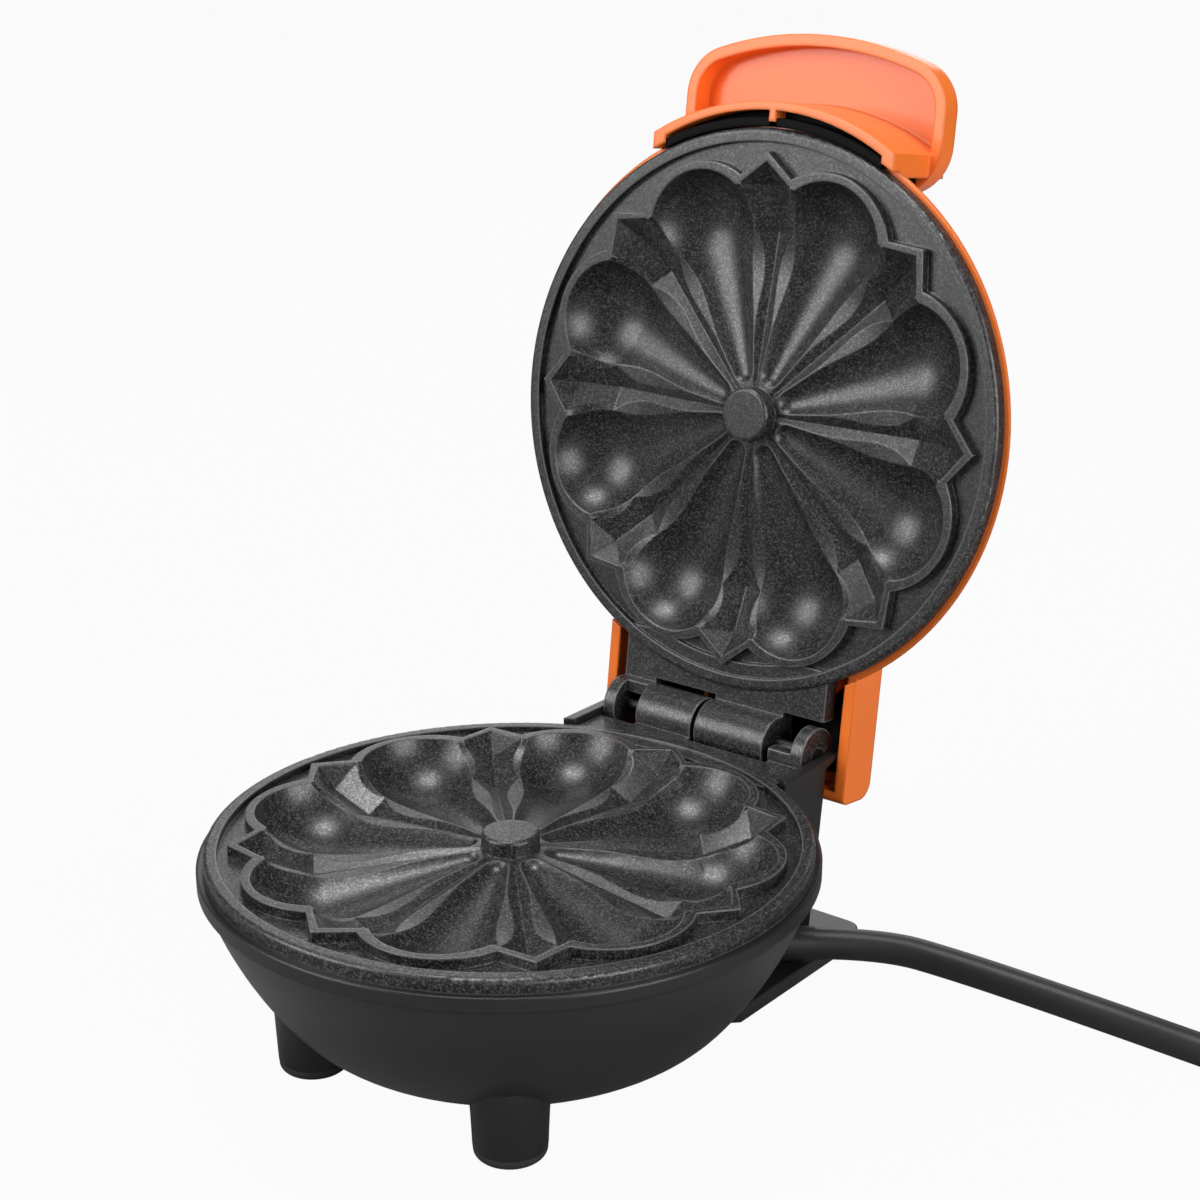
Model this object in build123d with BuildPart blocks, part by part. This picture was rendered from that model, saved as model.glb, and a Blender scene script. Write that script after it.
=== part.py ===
from build123d import *
from math import acos, asin, cos, degrees, pi, radians, sin, sqrt, tan
import os

# A countertop mini cake maker with a flower mould, standing open. All lengths in millimetres.
# Every piece is drawn with the lid closed, about the plates' axis, with z = 0 at the parting plane,
# +Y to the hinge. The two frames below then stand the base on the table and open the lid.

# Stance
plate_radius = 62.0
open_angle = 97.0
hinge_y = plate_radius + 9.7
parting_height = 49.0
plates_from_origin = -27.5

# Mould plates
plate_gap = 0.3
ridge_top = -plate_gap / 2
rim_drop = 0.9
rim_width = 2.8
rim_round = 0.9
field_drop = 2.5
seat_drop = 4.0
pan_radius = plate_radius - 5.0
pan_shoulder = 6.0
pan_floor_radius = pan_radius - 7.0
pan_drop = 12.5

# Flower of the mould
petals = 8
tip_radius = pan_radius - 2.0
corner_radius = tip_radius - 4.93
corner_angle = 7.39
lobe_tip_radius = tip_radius + 0.3
ridge_width = 1.6
crest_drop = 5.6
crest_radius = tip_radius - 15.0
hub_drop = 3.6
boss_radius = 6.0
lobe_ball = 14.6
lobe_ball_radius = tip_radius - 13.6
lobe_ball_height = 4.5
lobe_tail_ball = 3.1
lobe_tail_radius = 10.0
lobe_tail_height = -2.3
crease_depth = 2.2

# Hinge
knuckle_radius = 6.2
pin_radius = 1.6
pin_clearance = 0.05
ear_outer = 27.4
ear_width = 3.0
knuckle_gap = 1.2
lower_barrel = (-18.0, -2.8)
hood_inner = 18.6
upper_barrel_end = 16.8
hood_bore = 3.6
tongue_top = -1.5
tongue_thickness = 4.0
tongue_end = hinge_y - 7.2

# Bowl of the base
bowl_rim_radius = plate_radius + 1.4
bowl_wall = 2.4
rim_band = 3.0
side_radius = 78.0
side_bulge = 2.4
side_centre = (bowl_rim_radius + side_bulge - side_radius, 15.9)
shoulder_radius = 25.0
shoulder_angle = 38.8

# Hinge box at the back of the base
box_half_width = 30.5
box_wall = 2.5
box_front = hinge_y - 51.7
box_back = hinge_y - 0.7
box_foot_back = hinge_y - 5.7
box_top_front = hinge_y - 21.7
box_lip = 5.0
box_lip_drop = 2.2
box_back_top = -9.0
plate_clearance = 0.6

# Cord-wrap flange under the hinge box
flange_top = -38.5
flange_thickness = 3.2
flange_half_width = 40.0
flange_back = hinge_y + 2.3
flange_depth = 60.0
flange_front = flange_back - flange_depth
flange_corner = 4.0

# Feet, and the screws that go up through them
front_foot = (26.5, 30.0 - plate_radius)
back_foot = (22.0, hinge_y - 15.7)
foot_radius = 7.4
foot_draft = 2.6
pad_height = 2.4
pad_round = 1.6
pad_stem_height = 3.0
screw_seat = -34.0
screw_radius = 1.75
screw_head_radius = 3.4
screw_head_height = 2.6
screw_reach = 25.0
tunnel_clearance = 0.3
boss_tube_radius = 4.8
post_radius = 4.0
post_end = -19.0

# Heating
heater_ring = pan_radius - 24.0
heater_radius = 3.25
heater_height = -14.6
heater_open_angle = 50.0
reflector_thickness = 0.6
reflector_radius = pan_radius - 11.0
lid_reflector_radius = reflector_radius - 3.0
thermostat_radius = 7.5
thermostat_height = 8.0

# Screws at the back of the lid, and the seat of those in the dome
lid_post_end = 8.0
lid_screw_seat = 10.6
lid_screw_reach = 7.0
dome_screw_seat = 22.6

# Lid shell
dome_centre = -38.9
dome_radius = sqrt(bowl_rim_radius**2 + (seat_drop - dome_centre) ** 2)
lid_wall = 2.4
tail_half_width = 33.6
tail_wall = 2.6
tail_front = hinge_y - 31.7
tail_end = hinge_y + 10.8
tail_top = 14.0
tail_bottom = 3.0
tail_round = 3.8
tail_lip_round = 1.5

# Handle and its front skirt
handle_front = bowl_rim_radius + 19.1
handle_half_width = 33.5
handle_back = bowl_rim_radius - 13.4
handle_corner = 11.0
handle_round = 3.4
handle_bottom = 15.5
handle_top = 23.2
handle_floor = 20.5
handle_wall = 2.6
skirt_front = bowl_rim_radius + 4.2
skirt_end = (31.0, bowl_rim_radius - 4.4)
skirt_thickness = 1.8
skirt_end_wall = 3.0
skirt_bottom = 0.7
skirt_rib = 1.6
pocket_top = 17.0

# Black liners in the skirt's pocket and in the lid's tail
liner_gap = 0.1
liner_lip = 1.2
liner_depth = 4.6
tail_liner_front = hinge_y - 14.5
tail_liner_thickness = 1.2
tail_liner_half_width = 27.0

# Indicator lamp in the top of the dome
lens_distance = 18.0
lens_radius = 3.5
lens_sink = 3.504
lens_bottom = dome_centre + sqrt(dome_radius**2 - lens_distance**2) - lens_sink
lens_height = 4.2
lamp_height = 6.0

# Supply cord
cord_diameter = 6.8
gland_exit = (box_half_width, hinge_y - 25.7, -34.4)
gland_heading = (0.8, 0.6, 0.0)
gland_inside = 20.0
gland_outside = 12.0
gland_radius = 4.0
gland_tip_radius = 3.7
coil_radius = 34.5
coil_pitch = 7.4
coil_turns = 3
coil_centre_x = 150.0

# Plug
plug_radius = 18.5
plug_length = 38.0
plug_pin_radius = 2.4
plug_pin_length = 19.0
plug_pin_spacing = 19.0

os.makedirs("parts", exist_ok=True)

base_frame = Pos(0, plates_from_origin, parting_height)
lid_frame = base_frame * Pos(0, hinge_y, 0) * Rot(-open_angle, 0, 0) * Pos(0, -hinge_y, 0)

foot_places = [(side * x, y) for x, y in (front_foot, back_foot) for side in (1, -1)]
front_places = foot_places[:2]


def polar(radius, angle):
    """A point at this radius, its angle counted from +Y towards +X."""
    return (radius * sin(radians(angle)), radius * cos(radians(angle)))


# Flower mould, shared by both plates

petal_step = 360.0 / petals
with BuildSketch() as flower:
    with BuildLine():
        for petal in range(petals):
            angle = petal * petal_step
            tip = polar(tip_radius, angle)
            near = polar(corner_radius, angle - corner_angle)
            far = polar(corner_radius, angle + corner_angle)
            crown = polar(lobe_tip_radius, angle + petal_step / 2)
            after = polar(corner_radius, angle + petal_step - corner_angle)
            Line(near, tip)
            Line(tip, far)
            ThreePointArc(far, crown, after)
    make_face()

# A spoon-shaped lobe: a large ball and a small one with the cone that touches both
lobe_run = lobe_ball_radius - lobe_tail_radius
lobe_rise = lobe_ball_height - lobe_tail_height
lobe_length = sqrt(lobe_run**2 + lobe_rise**2)
cone_angle = asin((lobe_ball - lobe_tail_ball) / lobe_length)
lobe_plane = Plane(
    origin=(0, lobe_tail_radius, lobe_tail_height),
    x_dir=(0, lobe_run, lobe_rise),
    z_dir=(1, 0, 0),
)
with BuildPart() as lobe_tool:
    with BuildSketch(lobe_plane):
        with BuildLine():
            tail_touch = (-lobe_tail_ball * sin(cone_angle), lobe_tail_ball * cos(cone_angle))
            ball_touch = (lobe_length - lobe_ball * sin(cone_angle), lobe_ball * cos(cone_angle))
            half = (pi / 2 + cone_angle) / 2
            ThreePointArc(
                (-lobe_tail_ball, 0),
                (-lobe_tail_ball * cos(half / 2), lobe_tail_ball * sin(half / 2)),
                tail_touch,
            )
            Line(tail_touch, ball_touch)
            ThreePointArc(
                ball_touch,
                (lobe_length + lobe_ball * sin(pi / 4), lobe_ball * cos(pi / 4)),
                (lobe_length + lobe_ball, 0),
            )
            Line((lobe_length + lobe_ball, 0), (-lobe_tail_ball, 0))
        make_face()
    revolve(axis=Axis(lobe_plane.origin, lobe_plane.x_dir))

# A pointed valley between two lobes, with a crease along its middle
valley_slope = sin(radians(corner_angle))
with BuildPart() as valley_tool:
    for radius, half_width, crest, crease in (
        (boss_radius, boss_radius * valley_slope, -hub_drop, -hub_drop - crease_depth / 4),
        (crest_radius, crest_radius * valley_slope, -crest_drop, -crest_drop - crease_depth),
        (corner_radius, corner_radius * valley_slope, ridge_top - 0.6, -crest_drop + crease_depth / 2),
        (tip_radius, 0.1, ridge_top, ridge_top - 0.1),
    ):
        with BuildSketch(Plane(origin=(0, radius, 0), x_dir=(1, 0, 0), z_dir=(0, 1, 0))):
            with BuildLine():
                Polyline(
                    (-half_width, -1),
                    (half_width, -1),
                    (half_width, -crest),
                    (0, -crease),
                    (-half_width, -crest),
                    close=True,
                )
            make_face()
    loft(ruled=True)

with BuildPart() as pan:
    with BuildSketch(Plane.XZ):
        with BuildLine():
            Polyline(
                (0, -field_drop),
                (plate_radius, -field_drop),
                (plate_radius, -seat_drop),
                (pan_radius, -seat_drop),
                (pan_radius, -pan_shoulder),
                (pan_floor_radius, -pan_drop),
                (0, -pan_drop),
                close=True,
            )
        make_face()
    revolve(axis=Axis.Z)
    with BuildSketch(Plane.XY.offset(-seat_drop)):
        Circle(plate_radius)
        Circle(plate_radius - rim_width, mode=Mode.SUBTRACT)
    extrude(amount=seat_drop - rim_drop)
    rim_edges = pan.edges().filter_by(GeomType.CIRCLE).group_by(Axis.Z)[-1]
    fillet(rim_edges.sort_by(SortBy.LENGTH)[-1], rim_round)
    with BuildSketch(Plane.XY.offset(-field_drop - 1)):
        add(flower.sketch)
        offset(amount=ridge_width, kind=Kind.INTERSECTION)
    extrude(amount=field_drop + 1 + ridge_top)
    with BuildSketch(Plane.XZ):
        with BuildLine():
            Spline(
                (0, -hub_drop),
                (crest_radius * 0.6, -(hub_drop + crest_drop) / 2 - 0.5),
                (crest_radius, -crest_drop),
                (corner_radius, ridge_top),
                tangents=((1, 0), (1, 2.2)),
            )
            Line((corner_radius, ridge_top), (corner_radius, 1))
            Line((corner_radius, 1), (0, 1))
            Line((0, 1), (0, -hub_drop))
        make_face()
    revolve(axis=Axis.Z, mode=Mode.SUBTRACT)
    with PolarLocations(0, petals, start_angle=petal_step / 2):
        add(lobe_tool.part, mode=Mode.SUBTRACT)
    with PolarLocations(0, petals):
        add(valley_tool.part, mode=Mode.SUBTRACT)
    with BuildSketch(Plane.XY.offset(-pan_drop + 1)):
        Circle(boss_radius)
    extrude(amount=pan_drop - 1 + ridge_top)
    fillet(pan.edges().filter_by(GeomType.CIRCLE).group_by(Axis.Z)[-1].sort_by(SortBy.RADIUS)[0], 0.8)
    # Seat of the heating ring, and the posts that the screws go into
    with BuildSketch(Plane.XY.offset(-pan_drop + 0.5)):
        Circle(heater_ring + heater_radius + 1.2)
        Circle(heater_ring - heater_radius - 1.2, mode=Mode.SUBTRACT)
    extrude(amount=heater_height + pan_drop - 0.5)
    with BuildSketch(Plane.XZ):
        with Locations((heater_ring, heater_height)):
            Circle(heater_radius + 0.05)
    revolve(axis=Axis.Z, mode=Mode.SUBTRACT)
    with BuildSketch(Plane.XY.offset(post_end)):
        with Locations(*front_places):
            Circle(post_radius)
    extrude(amount=-pan_drop + 1.5 - post_end)


def casting(barrel, ear_side, back_post, back_hole):
    """A plate with its tongue, its barrel, its ear on ear_side and back posts that end at back_post."""
    ear_inner = ear_outer - ear_width
    middle = ear_side * (hood_inner + ear_outer) / 2
    with BuildPart() as plate:
        add(pan.part)
        with BuildSketch(Plane.XY.offset(tongue_top - tongue_thickness)):
            with Locations((0, (tongue_end + pan_radius - 4) / 2)):
                Rectangle(2 * ear_outer, tongue_end - pan_radius + 4)
            with Locations((sum(barrel) / 2, (hinge_y + pan_radius) / 2)):
                Rectangle(barrel[1] - barrel[0], hinge_y - pan_radius)
            with Locations((middle, (hinge_y + pan_radius) / 2)):
                Rectangle(ear_outer - hood_inner, hinge_y - pan_radius)
            Circle(pan_radius - 1, mode=Mode.SUBTRACT)
        extrude(amount=tongue_thickness)
        with BuildSketch(Plane.YZ.offset(barrel[0])):
            with Locations((hinge_y, 0)):
                Circle(knuckle_radius)
        extrude(amount=barrel[1] - barrel[0])
        with BuildSketch(Plane.YZ.offset(ear_side * hood_inner)):
            with Locations((hinge_y, 0)):
                Circle(knuckle_radius)
        extrude(amount=ear_side * (ear_outer - hood_inner))
        with BuildSketch(Plane.YZ.offset(ear_side * (hood_inner - 1))):
            with Locations((hinge_y, 0)):
                Circle(hood_bore)
                with Locations((0, knuckle_radius / 2 + 1.5)):
                    Rectangle(4 * knuckle_radius, knuckle_radius)
                with Locations((knuckle_radius, 0)):
                    Rectangle(2 * knuckle_radius, 4 * knuckle_radius)
        extrude(amount=ear_side * (ear_inner - hood_inner + 1), mode=Mode.SUBTRACT)
        with BuildSketch(Plane.YZ.offset(-ear_outer - 1)):
            with Locations((hinge_y, 0)):
                Circle(pin_radius + pin_clearance)
        extrude(amount=2 * ear_outer + 2, mode=Mode.SUBTRACT)
        with BuildSketch(Plane.XY.offset(back_post)):
            with Locations(*foot_places[2:]):
                Circle(post_radius)
        extrude(amount=tongue_top - tongue_thickness + 0.5 - back_post)
        with BuildSketch(Plane.XY.offset(post_end - 1)):
            with Locations(*front_places):
                Circle(screw_radius + 0.05)
        extrude(amount=screw_seat + screw_reach + 0.3 - post_end + 1, mode=Mode.SUBTRACT)
        with BuildSketch(Plane.XY.offset(back_post - 1)):
            with Locations(*foot_places[2:]):
                Circle(screw_radius + 0.05)
        extrude(amount=back_hole - back_post + 1, mode=Mode.SUBTRACT)
    return plate.part


with BuildPart() as lower_plate:
    add(casting(lower_barrel, 1, post_end, screw_seat + screw_reach + 0.3))

with BuildPart() as upper_plate:
    upper_barrel = (lower_barrel[1] + knuckle_gap, upper_barrel_end)
    upper_hole = lid_screw_reach - lid_screw_seat + 0.3
    add(mirror(casting(upper_barrel, -1, -lid_post_end, upper_hole), about=Plane.XY))

with BuildPart() as hinge_pin:
    with BuildSketch(Plane.YZ.offset(-ear_outer - 0.4)):
        with Locations((hinge_y, 0)):
            Circle(pin_radius)
    extrude(amount=2 * ear_outer + 0.8)

# Base shell


def bowl(inset):
    """The bowl as a solid of revolution, its side and bottom inside the outer face by inset."""
    side = side_radius - inset
    shoulder = shoulder_radius - inset
    rim = bowl_rim_radius - inset
    band = -seat_drop - rim_band
    turn_x = side_centre[0] + (side_radius - shoulder_radius) * cos(radians(shoulder_angle))
    turn_z = side_centre[1] - (side_radius - shoulder_radius) * sin(radians(shoulder_angle))
    start = asin((side_centre[1] - band) / side)
    middle = (start + radians(shoulder_angle)) / 2
    low = (radians(shoulder_angle) + pi / 2) / 2
    joint = (
        side_centre[0] + side * cos(radians(shoulder_angle)),
        side_centre[1] - side * sin(radians(shoulder_angle)),
    )
    with BuildPart() as solid:
        with BuildSketch(Plane.XZ):
            with BuildLine():
                under_band = (side_centre[0] + side * cos(start), band)
                floor = (turn_x, turn_z - shoulder)
                Line((rim, -seat_drop), (rim, band))
                Line((rim, band), under_band)
                ThreePointArc(
                    under_band,
                    (side_centre[0] + side * cos(middle), side_centre[1] - side * sin(middle)),
                    joint,
                )
                ThreePointArc(joint, (turn_x + shoulder * cos(low), turn_z - shoulder * sin(low)), floor)
                Line(floor, (0, turn_z - shoulder))
                Line((0, turn_z - shoulder), (0, -seat_drop))
                Line((0, -seat_drop), (rim, -seat_drop))
            make_face()
        revolve(axis=Axis.Z)
    return solid.part


gland_direction = Vector(*gland_heading).normalized()
gland_origin = Vector(*gland_exit)
gland_plane = Plane(origin=gland_origin, x_dir=(0, 0, 1), z_dir=gland_direction)
clamp_place = gland_origin - gland_direction * (gland_inside - 6)
clamp_turn = degrees(acos(gland_direction.X))
clamp_height = gland_exit[2] + cord_diameter / 2
clamp_post = 7.2

with BuildPart() as base_shell:
    add(bowl(0))
    with BuildSketch(Plane.YZ):
        with BuildLine():
            Polyline(
                (box_front, flange_top),
                (box_foot_back, flange_top),
                (box_back, -box_lip_drop),
                (box_back + box_lip, -0.8),
                (box_back + box_lip, 0),
                (box_top_front, 0),
                (box_top_front, -seat_drop),
                (box_front, -seat_drop),
                close=True,
            )
        make_face()
    extrude(amount=box_half_width, both=True)
    with BuildSketch(Plane.XY.offset(flange_top - flange_thickness)) as flange:
        with BuildLine():
            Polyline(
                (-flange_half_width, flange_back),
                (flange_half_width, flange_back),
                (flange_half_width, flange_front + 12),
                (flange_half_width - 12, flange_front),
                (12 - flange_half_width, flange_front),
                (-flange_half_width, flange_front + 12),
                close=True,
            )
        make_face()
        fillet(flange.vertices().sort_by(Axis.Y)[-2:], flange_corner)
    extrude(amount=flange_thickness)
    with BuildSketch(Plane.XY.offset(pad_height - parting_height)):
        with Locations(*foot_places):
            Circle(foot_radius)
    extrude(amount=parting_height - pad_height + screw_seat + 2, taper=-foot_draft)
    add(bowl(bowl_wall), mode=Mode.SUBTRACT)
    with BuildSketch(Plane.YZ):
        with BuildLine():
            Polyline(
                (box_front, flange_top),
                (box_foot_back - box_wall, flange_top),
                (box_back - box_wall - 1, box_back_top),
                (box_back + 2 * box_lip, box_back_top),
                (box_back + 2 * box_lip, 2),
                (box_front, 2),
                close=True,
            )
        make_face()
    extrude(amount=box_half_width - box_wall, both=True, mode=Mode.SUBTRACT)
    with BuildSketch(Plane.XY.offset(-seat_drop)):
        Circle(plate_radius + plate_clearance)
    extrude(amount=seat_drop + 2, mode=Mode.SUBTRACT)
    # Screw tubes over the feet
    with BuildSketch(Plane.XY.offset(flange_top - 1)):
        with Locations(*foot_places):
            Circle(boss_tube_radius)
    extrude(amount=post_end - reflector_thickness - flange_top + 1)
    with BuildSketch(Plane.XY.offset(post_end - reflector_thickness)):
        with Locations(*foot_places[2:]):
            Circle(boss_tube_radius)
    extrude(amount=reflector_thickness)
    # Posts of the cord clamp
    with BuildSketch(Plane.XY.offset(flange_top - 2)):
        with Locations(Location((clamp_place.X, clamp_place.Y, 0), (0, 0, clamp_turn))):
            with Locations((0, clamp_post), (0, -clamp_post)):
                Circle(2.6)
    extrude(amount=clamp_height - flange_top + 2)
    with BuildSketch(Plane.XY.offset(-parting_height)):
        with Locations(*foot_places):
            Circle(screw_head_radius + tunnel_clearance)
    extrude(amount=parting_height + screw_seat, mode=Mode.SUBTRACT)
    with BuildSketch(Plane.XY.offset(-parting_height)):
        with Locations(*foot_places):
            Circle(screw_radius + 0.2)
    extrude(amount=parting_height, mode=Mode.SUBTRACT)
    with BuildSketch(gland_plane.offset(-6)):
        Circle(gland_radius + 0.05)
    extrude(amount=14, mode=Mode.SUBTRACT)

with BuildPart() as foot_pads:
    with BuildSketch(Plane.XY.offset(-parting_height)):
        with Locations(*foot_places):
            Circle(foot_radius - 0.1)
    extrude(amount=pad_height)
    fillet(foot_pads.edges().group_by(Axis.Z)[0], pad_round)
    with BuildSketch(Plane.XY.offset(pad_height - parting_height)):
        with Locations(*foot_places):
            Circle(screw_head_radius)
    extrude(amount=pad_stem_height)

with BuildPart() as base_screws:
    with BuildSketch(Plane.XY.offset(screw_seat - screw_head_height)):
        with Locations(*foot_places):
            Circle(screw_head_radius)
    extrude(amount=screw_head_height)
    with BuildSketch(Plane.XY.offset(screw_seat)):
        with Locations(*foot_places):
            Circle(screw_radius)
    extrude(amount=screw_reach)
    with BuildSketch(Plane.XY.offset(screw_seat - screw_head_height)):
        with Locations(*foot_places):
            Rectangle(4.2, 1.0)
            Rectangle(1.0, 4.2)
    extrude(amount=1.4, mode=Mode.SUBTRACT)

# Heating of each half, drawn for the base

ring_start = 90 + heater_open_angle / 2
ring_arc = 360 - heater_open_angle
end_left = Plane(
    origin=(heater_ring * cos(radians(ring_start)), heater_ring * sin(radians(ring_start)), heater_height),
    z_dir=(sin(radians(ring_start)), -cos(radians(ring_start)), 0),
)
end_right = Plane(
    origin=(-end_left.origin.X, end_left.origin.Y, heater_height),
    z_dir=(-end_left.z_dir.X, end_left.z_dir.Y, 0),
)
bead_radius = 2.6
bead_length = 4.0
stud_radius = 1.1
stud_length = 5.0

with BuildPart() as lower_heater:
    with BuildLine() as ring_path:
        CenterArc((0, 0, heater_height), heater_ring, ring_start, ring_arc)
    with BuildSketch(Plane(origin=ring_path.line @ 0, z_dir=ring_path.line % 0)):
        Circle(heater_radius)
    sweep()

with BuildPart() as lower_heater_beads:
    with BuildSketch(end_left, end_right):
        Circle(bead_radius)
    extrude(amount=bead_length)

with BuildPart() as lower_heater_studs:
    with BuildSketch(end_left.offset(bead_length), end_right.offset(bead_length)):
        Circle(stud_radius)
    extrude(amount=stud_length)

with BuildPart() as lower_reflector:
    with BuildSketch(Plane.XY.offset(post_end - reflector_thickness)):
        Circle(reflector_radius)
        Circle(thermostat_radius + 2, mode=Mode.SUBTRACT)
        with Locations(*front_places):
            Circle(screw_radius + 0.3, mode=Mode.SUBTRACT)
    extrude(amount=reflector_thickness)

with BuildPart() as thermostat:
    with BuildSketch(Plane.XY.offset(-pan_drop - thermostat_height)):
        Circle(thermostat_radius)
    extrude(amount=thermostat_height)
    with BuildSketch(Plane.XY.offset(-pan_drop - 1)):
        SlotOverall(24, 7)
    extrude(amount=1)
    fillet(thermostat.edges().filter_by(GeomType.CIRCLE).group_by(Axis.Z)[0], 0.8)

fuse_y = heater_ring - 12.0
fuse_radius = 2.0
with BuildPart() as thermal_fuse:
    with BuildSketch(Plane.YZ.offset(-7)):
        with Locations((fuse_y, -pan_drop - fuse_radius)):
            Circle(fuse_radius)
    extrude(amount=14)

block_y = hinge_y - 13.7
block_size = (22.0, 9.0, 11.0)
block_top = flange_top + block_size[2]
with BuildPart() as terminal_block:
    with Locations((0, block_y, flange_top + block_size[2] / 2)):
        Box(*block_size)
    with Locations(*[(x, block_y, block_top) for x in (-7, 0, 7)]):
        Hole(1.8, depth=5)
    fillet(terminal_block.edges().filter_by(Axis.Z), 1)

with BuildPart() as cord_clamp:
    with BuildSketch(Plane.XY.offset(clamp_height)):
        with Locations(Location((clamp_place.X, clamp_place.Y, 0), (0, 0, clamp_turn))):
            Rectangle(5, 2 * clamp_post + 5)
            with Locations((0, clamp_post), (0, -clamp_post)):
                Circle(1.3, mode=Mode.SUBTRACT)
    extrude(amount=2.2)

with BuildPart() as cord_clamp_screws:
    with BuildSketch(Plane.XY.offset(clamp_height)):
        with Locations(Location((clamp_place.X, clamp_place.Y, 0), (0, 0, clamp_turn))):
            with Locations((0, clamp_post), (0, -clamp_post)):
                Circle(1.25)
    extrude(amount=2.2)
    with BuildSketch(Plane.XY.offset(clamp_height + 2.2)):
        with Locations(Location((clamp_place.X, clamp_place.Y, 0), (0, 0, clamp_turn))):
            with Locations((0, clamp_post), (0, -clamp_post)):
                Circle(2.4)
    extrude(amount=1.5)

# Lid

tail_places = foot_places[2:]


def dome(inset):
    """The lid's dome as a solid cap, inside its outer face by inset."""
    ball = dome_radius - inset
    top = dome_centre + ball
    rim = sqrt(ball**2 - (seat_drop - dome_centre) ** 2)
    lift = (seat_drop + top) / 2
    with BuildPart() as solid:
        with BuildSketch(Plane.XZ):
            with BuildLine():
                Line((0, seat_drop), (rim, seat_drop))
                ThreePointArc((rim, seat_drop), (sqrt(ball**2 - (lift - dome_centre) ** 2), lift), (0, top))
                Line((0, top), (0, seat_drop))
            make_face()
        revolve(axis=Axis.Z)
    return solid.part


def handle_outline(inset):
    """The handle seen from above, inside its outer edge by inset."""
    front = handle_front - inset
    side = handle_half_width - inset
    back = handle_back + inset
    corner = -sqrt(front**2 - side**2)
    with BuildSketch() as outline:
        with BuildLine():
            Line((side, -back), (side, corner))
            ThreePointArc((side, corner), (0, -front), (-side, corner))
            Line((-side, corner), (-side, -back))
            Line((-side, -back), (side, -back))
        make_face()
        fillet(outline.vertices(), handle_corner - inset)
    return outline.sketch


def skirt_outline(inset, end_inset):
    """The skirt seen from above, inside its front by inset and inside its ends by end_inset."""
    end = (skirt_end[0] - end_inset, inset / 3 - skirt_end[1])
    with BuildSketch() as outline:
        with BuildLine():
            ThreePointArc((-end[0], end[1]), (0, inset - skirt_front), end)
            Polyline(end, (end[0], -handle_back / 2), (-end[0], -handle_back / 2), (-end[0], end[1]))
        make_face()
    return outline.sketch


handle_mid = (handle_floor + handle_top) / 2

with BuildPart() as lid_shell:
    add(dome(0))
    with BuildSketch(Plane.YZ):
        with BuildLine():
            Polyline(
                (tail_front - 10, tail_bottom),
                (tail_end, tail_bottom),
                (tail_end, tail_top),
                (tail_front - 10, tail_top),
                close=True,
            )
        make_face()
    extrude(amount=tail_half_width, both=True)
    fillet(lid_shell.edges().filter_by(Axis.X).group_by(Axis.Y)[-1].sort_by(Axis.Z)[0], tail_lip_round)
    fillet(lid_shell.edges().filter_by(Axis.X).group_by(Axis.Y)[-1].sort_by(Axis.Z)[-1], tail_round)
    with BuildSketch(Plane.XY.offset(handle_bottom)):
        add(handle_outline(0))
    extrude(amount=handle_top - handle_bottom)
    handle_face = lid_shell.faces().filter_by(lambda f: abs(f.center().Z - handle_top) < 0.01)
    fillet(handle_face.edges().filter_by(lambda e: e.center().Y < -handle_back - 4), handle_round)
    with BuildSketch(Plane.XY.offset(handle_bottom)):
        add(handle_outline(handle_wall))
    extrude(amount=handle_floor - handle_bottom, mode=Mode.SUBTRACT)
    add(dome(0))
    # Skirt in front of the plates, with the pocket behind it and its middle rib
    with BuildSketch(Plane.XY.offset(skirt_bottom)):
        add(skirt_outline(0, 0))
        Circle(bowl_rim_radius - 1, mode=Mode.SUBTRACT)
    extrude(amount=handle_mid - skirt_bottom)
    with BuildSketch(Plane.XY.offset(-1)):
        add(skirt_outline(skirt_thickness, skirt_end_wall))
        Rectangle(skirt_rib, 4 * skirt_front, mode=Mode.SUBTRACT)
    extrude(amount=pocket_top + 1, mode=Mode.SUBTRACT)
    with BuildSketch(Plane.XY.offset(-1)):
        Circle(bowl_rim_radius)
    extrude(amount=seat_drop + 1, mode=Mode.SUBTRACT)
    add(dome(0))
    add(dome(lid_wall), mode=Mode.SUBTRACT)
    with BuildSketch(Plane.YZ):
        with BuildLine():
            Polyline(
                (tail_front, tail_bottom - 2),
                (tail_end - tail_wall, tail_bottom - 2),
                (tail_end - tail_wall, tail_top - tail_wall - 2),
                (tail_end - tail_wall - 2, tail_top - tail_wall),
                (tail_front, tail_top - tail_wall),
                close=True,
            )
        make_face()
    extrude(amount=tail_half_width - tail_wall, both=True, mode=Mode.SUBTRACT)
    # Screw tubes, and the holes that the screw heads sink into
    with BuildSketch(Plane.XY.offset(-post_end + reflector_thickness)):
        with Locations(*front_places):
            Circle(boss_tube_radius)
    extrude(amount=dome_screw_seat + post_end - reflector_thickness + 1)
    with BuildSketch(Plane.XY.offset(lid_post_end)):
        with Locations(*tail_places):
            Circle(boss_tube_radius)
    extrude(amount=tail_top - tail_wall + 1 - lid_post_end)
    for places, seat in ((front_places, dome_screw_seat), (tail_places, lid_screw_seat)):
        with BuildSketch(Plane.XY.offset(seat)):
            with Locations(*places):
                Circle(screw_head_radius + tunnel_clearance)
        extrude(amount=10, mode=Mode.SUBTRACT)
        with BuildSketch(Plane.XY.offset(seat - 6)):
            with Locations(*places):
                Circle(screw_radius + 0.2)
        extrude(amount=7, mode=Mode.SUBTRACT)
    with BuildSketch(Plane.XY.offset(lens_bottom)):
        with Locations((0, -lens_distance)):
            Circle(lens_radius + 0.05)
    extrude(amount=10, mode=Mode.SUBTRACT)

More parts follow.
